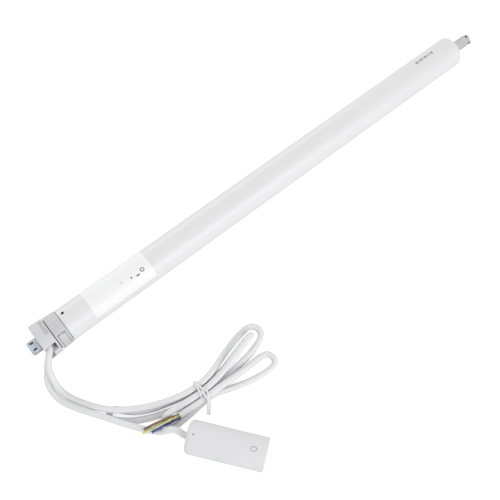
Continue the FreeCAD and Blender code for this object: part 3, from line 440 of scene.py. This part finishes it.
power_points = [
    # The lead, from the head to the hank
    (6.0, -9.6, 8.9), (6.0, -14.4, 8.9), (-0.4, -20.6, 9.0), (-6.2, -26.9, 3.4),
    (-9.3, -34.2, -7.2), (-10.2, -43.5, -14.7), (-7.2, -56.6, -16.4), (-0.3, -69.7, -14.1),
    (8.1, -83.8, -9.4), (19.4, -96.3, -9.4), (34.2, -106.6, -9.4), (48.2, -114.6, -9.4),
    (61.8, -120.0, -9.1),
    # Through the tie to the outer right fold
    (82.2, -126.8, -7.3), (106.0, -127.2, -7.1), (120.0, -122.4, -9.6), (134.0, -116.8, -14.5),
    (149.0, -111.6, -16.4), (168.0, -108.6, -16.4), (175.6, -112.2, -16.4),
    (178.0, -119.6, -16.4), (173.6, -126.6, -16.4),
    # Back below it, to the left bight
    (158.0, -131.4, -16.4), (140.0, -134.0, -16.4), (122.0, -136.2, -16.1),
    (103.0, -134.4, -14.0), (87.0, -134.5, -14.0), (74.0, -132.8, -16.3), (58.5, -128.0, -16.4),
    (43.0, -122.4, -16.4), (26.0, -113.4, -16.4), (9.4, -98.0, -16.4),
    # To the inner right fold, which rises
    (17.6, -88.8, -16.4), (30.2, -105.8, -16.4), (47.5, -115.8, -16.4), (65.5, -121.2, -16.4),
    (79.0, -125.0, -16.0), (90.0, -127.5, -14.0), (104.0, -127.6, -14.1), (120.0, -128.8, -16.2),
    (135.0, -125.4, -16.4), (149.6, -121.4, -16.4), (165.0, -117.6, -16.4),
    # Back on top, to the inner left fold
    (165.4, -121.5, -1.5), (149.8, -124.6, -3.1), (136.0, -128.0, -6.5), (120.0, -131.8, -7.9),
    (104.0, -134.4, -7.1), (88.0, -134.4, -7.1), (76.0, -132.9, -7.4), (65.2, -131.5, -7.8),
    (50.0, -130.6, -7.3),
    # Along the lower edge, to the lower right fold
    (50.0, -142.8, -16.4), (65.2, -142.4, -16.4), (77.0, -142.2, -16.0), (89.0, -141.4, -14.0),
    (103.0, -141.4, -14.0), (116.0, -146.6, -16.0), (130.0, -151.6, -16.4),
    (146.0, -155.4, -16.4), (164.9, -157.0, -16.4), (169.7, -152.4, -16.4),
    (169.7, -145.6, -16.4), (164.9, -141.0, -16.4),
    # Back on top, to the cut end
    (148.0, -141.2, -15.7), (132.0, -141.2, -12.1), (118.0, -141.6, -8.7), (103.0, -141.4, -7.1),
    (89.0, -141.4, -7.1), (76.5, -140.1, -8.5), (64.3, -138.6, -9.4),
]
power_cable = cord_curve("power_cable", power_points, cable_diameter, jacket)
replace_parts(power_cable, "power_lead", "power_hank")

receiver_points = [
    # From the head, down and along the power cable's lead
    (3.3, -9.6, 2.0), (3.3, -14.2, 2.0), (-2.6, -19.6, 0.8), (-8.6, -23.9, -7.4),
    (-14.8, -30.4, -13.3), (-17.4, -41.5, -16.4), (-15.3, -55.7, -16.1), (-7.8, -70.4, -13.5),
    (0.4, -83.9, -9.7), (9.6, -97.4, -9.4), (18.6, -111.4, -9.4), (28.6, -125.6, -9.4),
    # Under the blue core, and up into the receiver's gland
    (39.6, -139.4, -10.2), (49.0, -145.4, -1.0), (54.2, -150.4, -1.2), (55.2, -156.1, -3.3),
    (58.0, -159.74, -3.55),
]
receiver_cable = cord_curve("receiver_cable", receiver_points, cable_diameter, jacket)
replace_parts(receiver_cable, "receiver_lead")

# The cut end of the power cable's jacket, and the three cores in it
jacket_end = Vector(power_points[-1])
jacket_heading = (jacket_end - Vector(power_points[-2])).normalized()
jacket_side = Vector((-jacket_heading.y, jacket_heading.x, 0.0)).normalized()
jacket_up = -jacket_side.cross(jacket_heading)
core_offset = 1.5
core_straight = 3.5


def core(name, place, bend, finish):
    """One bared core, from its place in the jacket, in degrees, to its free end."""
    angle = math.radians(place)
    start = (jacket_end + jacket_side * core_offset * math.cos(angle)
             + jacket_up * core_offset * math.sin(angle))
    points = [tuple(start), tuple(start + jacket_heading * core_straight)] + bend
    made = cord_curve(name, points, core_diameter, finish)
    return made


brown = core("brown_core", place=205,
             bend=[(54.2, -135.4, -2.9), (42.6, -131.9, -2.9), (30.2, -129.2, -4.1)],
             finish=core_brown)
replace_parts(brown, "core_brown")
earth = core("earth_core", place=85,
             bend=[(54.4, -138.0, -2.1), (39.9, -134.2, -2.2), (27.0, -131.9, -3.4)],
             finish=core_earth)
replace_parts(earth, "core_earth")
blue = core("blue_core", place=325,
            bend=[(52.6, -139.6, -5.9), (43.4, -137.7, -2.4), (34.4, -136.4, -3.3)],
            finish=core_blue)
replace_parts(blue, "core_blue")


# Small pieces, with lengths in millimetres and angles in degrees

def mesh_piece(name, vertices, faces, finish, body):
    mesh = bpy.data.meshes.new(name)
    mesh.from_pydata(metres(vertices), [], faces)
    mesh.validate()
    mesh.materials.append(finish)
    made = bpy.data.objects.new(name, mesh)
    scene.collection.objects.link(made)
    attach(made, body)
    return made


mouth_radius = 2.7
mouth_lift = 0.06
mouth_sides = 24


def jacket_end_shade_disc():
    """A dark disc inside the rim of the cut jacket, round the three cores: painted shade in the
    jacket's hollow end.
    """
    centre = jacket_end + jacket_heading * mouth_lift
    vertices = [tuple(centre)]
    for number in range(mouth_sides):
        angle = 2 * math.pi * number / mouth_sides
        outward = jacket_side * math.cos(angle) + jacket_up * math.sin(angle)
        vertices.append(tuple(centre + outward * mouth_radius))
    faces = [(0, 1 + number, 1 + (number + 1) % mouth_sides) for number in range(mouth_sides)]
    mesh_piece("jacket_end_shade_disc", vertices, faces, black_part, "motor")


jacket_end_shade_disc()


def on_tube(x, angle, radius):
    """A point at that radius from the motor's axis."""
    turn = math.radians(angle)
    return (x, radius * math.cos(turn), radius * math.sin(turn))


# Just outside the painted tube and the label
tick_radius = 17.53
label_radius = 17.66

mark_strips = 4
tick_start = 506.4
tick_pitch = 3.3
tick_angle = 75.0
tick_lean = 0.25
ring_x = 119.7
ring_angle = 110.8
ring_inner = 1.4
ring_outer = 2.2
ring_sides = 20
# Length along the tube and height round it
ticks = [(1.7, 3.5), (0.9, 3.7), (1.8, 3.2), (0.9, 3.5), (1.7, 3.5), (0.8, 3.7), (1.0, 3.0),
         (1.8, 3.2)]
# Place along the tube, angle, length and height
dashes = [(113.4, 118.2, 3.6, 1.4), (106.5, 113.2, 1.8, 1.3), (95.7, 107.4, 1.0, 0.8)]


def tube_mark(vertices, faces, x, angle, length, height, radius, lean=0.0):
    """A patch that follows the tube, length along it and height round it."""
    half_turn = math.degrees(height / 2 / radius)
    first = len(vertices)
    for number in range(mark_strips + 1):
        side = 2 * number / mark_strips - 1
        for end in (-1, 1):
            along = x + end * length / 2 + side * lean
            vertices.append(on_tube(along, angle + side * half_turn, radius))
    for number in range(mark_strips):
        corner = first + 2 * number
        faces.append((corner, corner + 1, corner + 3, corner + 2))


def label_ring(vertices, faces):
    """A plain ring that follows the label."""
    for number in range(ring_sides):
        turn = 2 * math.pi * number / ring_sides
        after = 2 * math.pi * (number + 1) / ring_sides
        first = len(vertices)
        for radius, place in ((ring_inner, turn), (ring_outer, turn),
                              (ring_outer, after), (ring_inner, after)):
            x = ring_x + radius * math.cos(place)
            angle = ring_angle + math.degrees(radius * math.sin(place) / label_radius)
            vertices.append(on_tube(x, angle, label_radius))
        faces.append(tuple(range(first, first + 4)))


def printed_marks():
    """A row of plain ticks near the drive end, and a ring and dashes on the label."""
    vertices = []
    faces = []
    for number, (length, height) in enumerate(ticks):
        tube_mark(vertices, faces, tick_start + number * tick_pitch, tick_angle, length, height,
                  tick_radius, tick_lean)
    label_ring(vertices, faces)
    for x, angle, length, height in dashes:
        tube_mark(vertices, faces, x, angle, length, height, label_radius)
    mesh_piece("printed_marks", vertices, faces, ink, "motor")


printed_marks()


# The drive shaft, turned about its axis as it stands in the photograph
shaft_turn = 38.6
shaft_half = 5.2
journal_radius = 5.5
journal_start = 550.0
journal_end = 564.25
square_start = 564.3
square_end = 588.2
shaft_end = 588.6
chamfer = 0.4
groove_radius = 5.9
groove_start = 583.4
groove_end = 585.5
groove_wall = 0.05
# Beyond the square's corners, so nothing is cut
uncut = 9.0
# The groove's own faces have their middles farther out than this, the flat sides don't
groove_least = 5.6
side_angles = (-43.5, -30.0, -15.0, 0.0, 15.0, 30.0, 43.5)
# Place along the axis, half the side, and the radius that the corners are cut to
shaft_stations = [
    (journal_start, journal_radius, journal_radius),
    (journal_end, journal_radius, journal_radius),
    (square_start, shaft_half, uncut),
    (groove_start, shaft_half, uncut),
    (groove_start + groove_wall, shaft_half, groove_radius),
    (groove_end, shaft_half, groove_radius),
    (groove_end + groove_wall, shaft_half, uncut),
    (square_end, shaft_half, uncut),
    (shaft_end, shaft_half - chamfer, uncut),
]


def drive_shaft():
    """Round journal, then the square with its clip groove and chamfered end."""
    vertices = []
    faces = []
    for x, half, limit in shaft_stations:
        for quarter in range(4):
            for angle in side_angles:
                reach = min(half / math.cos(math.radians(angle)), limit)
                vertices.append(on_tube(x, shaft_turn + quarter * 90 + angle, reach))
    count = 4 * len(side_angles)
    for ring in range(len(shaft_stations) - 1):
        for number in range(count):
            corner = ring * count + number
            after = ring * count + (number + 1) % count
            faces.append((corner, after, after + count, corner + count))
    last = len(vertices) - count
    faces.append(tuple(range(last, last + count)))
    faces.append(tuple(reversed(range(count))))
    made = mesh_piece("turned_shaft", vertices, faces, ground_steel, "carrier_two")
    # The groove's faces get the near-black steel, painted shade in the groove
    made.data.materials.append(groove_painted_shade)
    for face in made.data.polygons:
        along = face.center.x / MM
        outward = math.hypot(face.center.y, face.center.z) / MM
        if groove_start < along < groove_end + groove_wall and outward > groove_least:
            face.material_index = 1
    return made


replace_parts(drive_shaft(), "drive_shaft")


# Floor, lamps and background, with lengths in metres

white = (1.0, 1.0, 1.0, 1.0)
floor_colour = (0.88, 0.88, 0.88, 1.0)
floor_place = (0.25, -0.05, -0.01975)
floor_half = 3.0
floor_rough = 0.8
floor_specular = 0.1
floor_glow = 0.60
background_glow = 1.0
background_light = 0.72

floor_mesh = bpy.data.meshes.new("floor")
floor_work = bmesh.new()
bmesh.ops.create_grid(floor_work, x_segments=2, y_segments=2, size=floor_half)
floor_work.to_mesh(floor_mesh)
floor_work.free()
floor = bpy.data.objects.new("floor", floor_mesh)
floor.location = floor_place
scene.collection.objects.link(floor)

# The floor glows for the camera only
floor_material, tree, shader = new_material("floor")
shader.inputs["Base Color"].default_value = floor_colour
shader.inputs["Roughness"].default_value = floor_rough
shader.inputs["Specular IOR Level"].default_value = floor_specular
glow = tree.nodes.new("ShaderNodeEmission")
glow.inputs["Color"].default_value = white
path = tree.nodes.new("ShaderNodeLightPath")
level = calculated(tree, "MULTIPLY", path.outputs["Is Camera Ray"], floor_glow)
tree.links.new(level, glow.inputs["Strength"])
both = tree.nodes.new("ShaderNodeAddShader")
tree.links.new(shader.outputs["BSDF"], both.inputs[0])
tree.links.new(glow.outputs["Emission"], both.inputs[1])
tree.links.new(both.outputs["Shader"], tree.nodes["Material Output"].inputs["Surface"])
floor.data.materials.append(floor_material)


def area_light(name, place, target, size, power):
    data = bpy.data.lights.new(name, "AREA")
    data.shape = "RECTANGLE"
    data.size, data.size_y = size
    data.energy = power
    lamp = bpy.data.objects.new(name, data)
    lamp.location = place
    heading = Vector(target) - Vector(place)
    lamp.rotation_euler = heading.to_track_quat("-Z", "Y").to_euler()
    scene.collection.objects.link(lamp)


area_light("key", place=(0.30, -1.45, 0.75), target=(0.25, -0.05, 0.0), size=(1.6, 0.9), power=9.0)
area_light("back", place=(0.35, 1.35, 0.45), target=(0.25, 0.0, 0.0), size=(1.6, 0.7), power=5.5)

# The background is brighter where the camera or a reflection sees it
world = bpy.data.worlds.new("world")
scene.world = world
world.use_nodes = True
tree = world.node_tree
background = tree.nodes["Background"]
background.inputs["Color"].default_value = white
path = tree.nodes.new("ShaderNodeLightPath")
seen = calculated(tree, "MAXIMUM", path.outputs["Is Camera Ray"], path.outputs["Is Glossy Ray"])
strength = spread(tree, seen, background_light, background_glow, 0.0, 1.0)
tree.links.new(strength, background.inputs["Strength"])

scene.view_settings.view_transform = "Standard"
